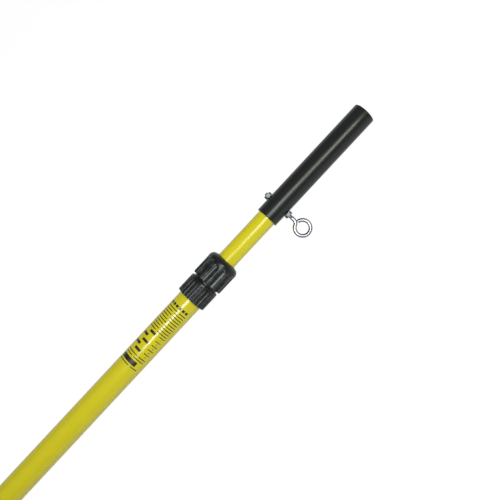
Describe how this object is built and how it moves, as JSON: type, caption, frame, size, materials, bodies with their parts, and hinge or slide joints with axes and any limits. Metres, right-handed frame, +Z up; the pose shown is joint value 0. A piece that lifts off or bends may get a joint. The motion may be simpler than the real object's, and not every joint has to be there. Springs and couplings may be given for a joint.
{
  "type": "telescopic pole",
  "caption": "Two-section telescopic fibreglass pole with a twist-lock collar, a black tip socket and a crosswise eye bolt.",
  "frame": {"origin": "centre of the flat butt face of the rubber cap, on the pole's axis", "axes": "+X along the pole from the butt to the tip socket, +Z up as the pole lies on a floor, with the eye on the -Y side drooping to the floor"},
  "size_m": [1.3155, 0.0917, 0.055],
  "materials": {
    "yellow_fibreglass": "gloss",
    "black_moulded_plastic": "satin",
    "black_sleeve_plastic": "satin",
    "black_rubber": "matte",
    "white_nylon": "satin",
    "zinc_plated_steel": "satin"
  },
  "bodies": {
    "base_section": {"base_tube": "yellow_fibreglass", "butt_cap": "black_rubber", "butt_plug": "white_nylon", "butt_pin": "zinc_plated_steel", "lock_body": "black_moulded_plastic", "lock_body_screw_1": "zinc_plated_steel", "lock_body_screw_2": "zinc_plated_steel", "mouth_bush": "white_nylon", "collet": "white_nylon"},
    "lock_follower": {"thrust_ring": "white_nylon"},
    "lock_collar": {"lock_nut": "black_moulded_plastic", "wiper_ring": "black_rubber"},
    "carriage": {"glide_ring": "white_nylon"},
    "inner_section": {"inner_tube": "yellow_fibreglass", "end_plug": "white_nylon", "end_plug_pin": "zinc_plated_steel", "tip_plug": "white_nylon", "tip_sleeve": "black_sleeve_plastic", "eye_bolt": "zinc_plated_steel", "eye_nut": "zinc_plated_steel", "far_nut": "zinc_plated_steel", "bolt_spacer": "zinc_plated_steel"}
  },
  "joints": [
    {"name": "extension", "type": "slide", "parent": "base_section", "child": "carriage", "axis": [1, 0, 0], "range_m": [-0.09, 0.7535]},
    {"name": "section_spin", "type": "hinge", "parent": "carriage", "child": "inner_section", "pos_m": [0.1573, 0, 0], "axis": [1, 0, 0], "continuous": true},
    {"name": "lock_travel", "type": "slide", "parent": "base_section", "child": "lock_follower", "axis": [1, 0, 0], "range_m": [0, 0.003]},
    {"name": "lock_twist", "type": "hinge", "parent": "lock_follower", "child": "lock_collar", "pos_m": [0.9463, 0, 0], "axis": [1, 0, 0], "range_deg": [0, 270]}
  ],
  "couplings": [
    {"joint": "lock_travel", "follows": "lock_twist", "m_per_rad": 0.0006366}
  ]
}
